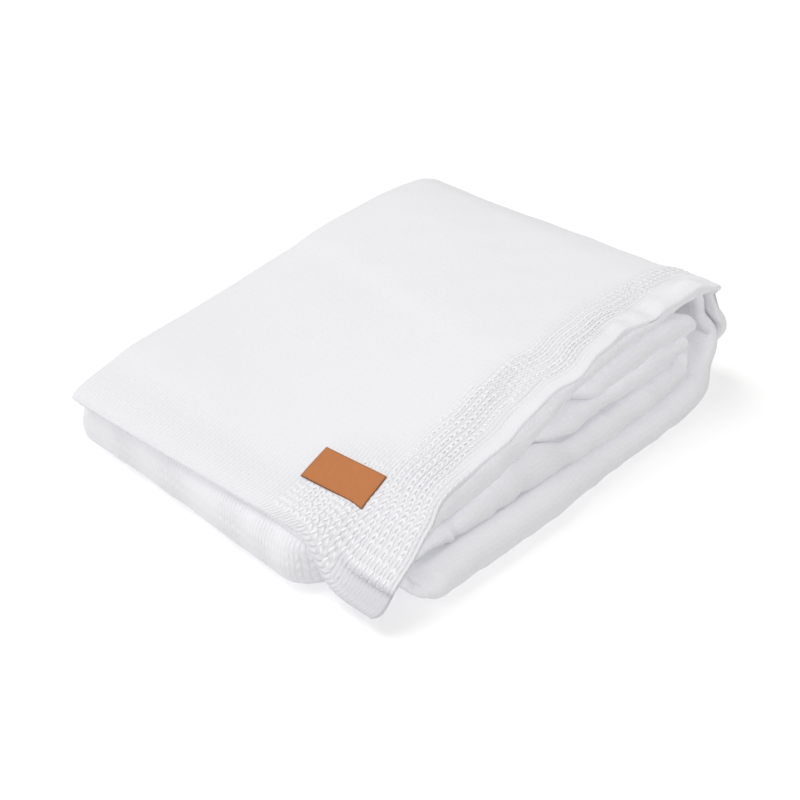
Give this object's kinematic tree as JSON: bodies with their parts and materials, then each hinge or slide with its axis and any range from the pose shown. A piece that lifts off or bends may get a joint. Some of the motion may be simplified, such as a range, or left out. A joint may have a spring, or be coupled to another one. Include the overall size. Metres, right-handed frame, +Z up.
{
  "type": "folded knitted bedspread",
  "caption": "White knitted bedspread folded in thirds and then over and over into a low pile, with a small leather patch sewn near one corner.",
  "frame": {"origin": "centre of the bounding box, on the ground under the pile", "axes": "+X along the pile's longest side, from the hem's side to the big fold; +Y from the open end of the folds towards the back; +Z up"},
  "size_m": [0.5305, 0.4029, 0.1356],
  "materials": {
    "knitted_cloth": "matt white cotton knit",
    "leather_patch": "tan leather"
  },
  "bodies": {
    "root": {"knitted_cloth": "knitted_cloth", "leather_patch": "leather_patch"}
  },
  "joints": []
}
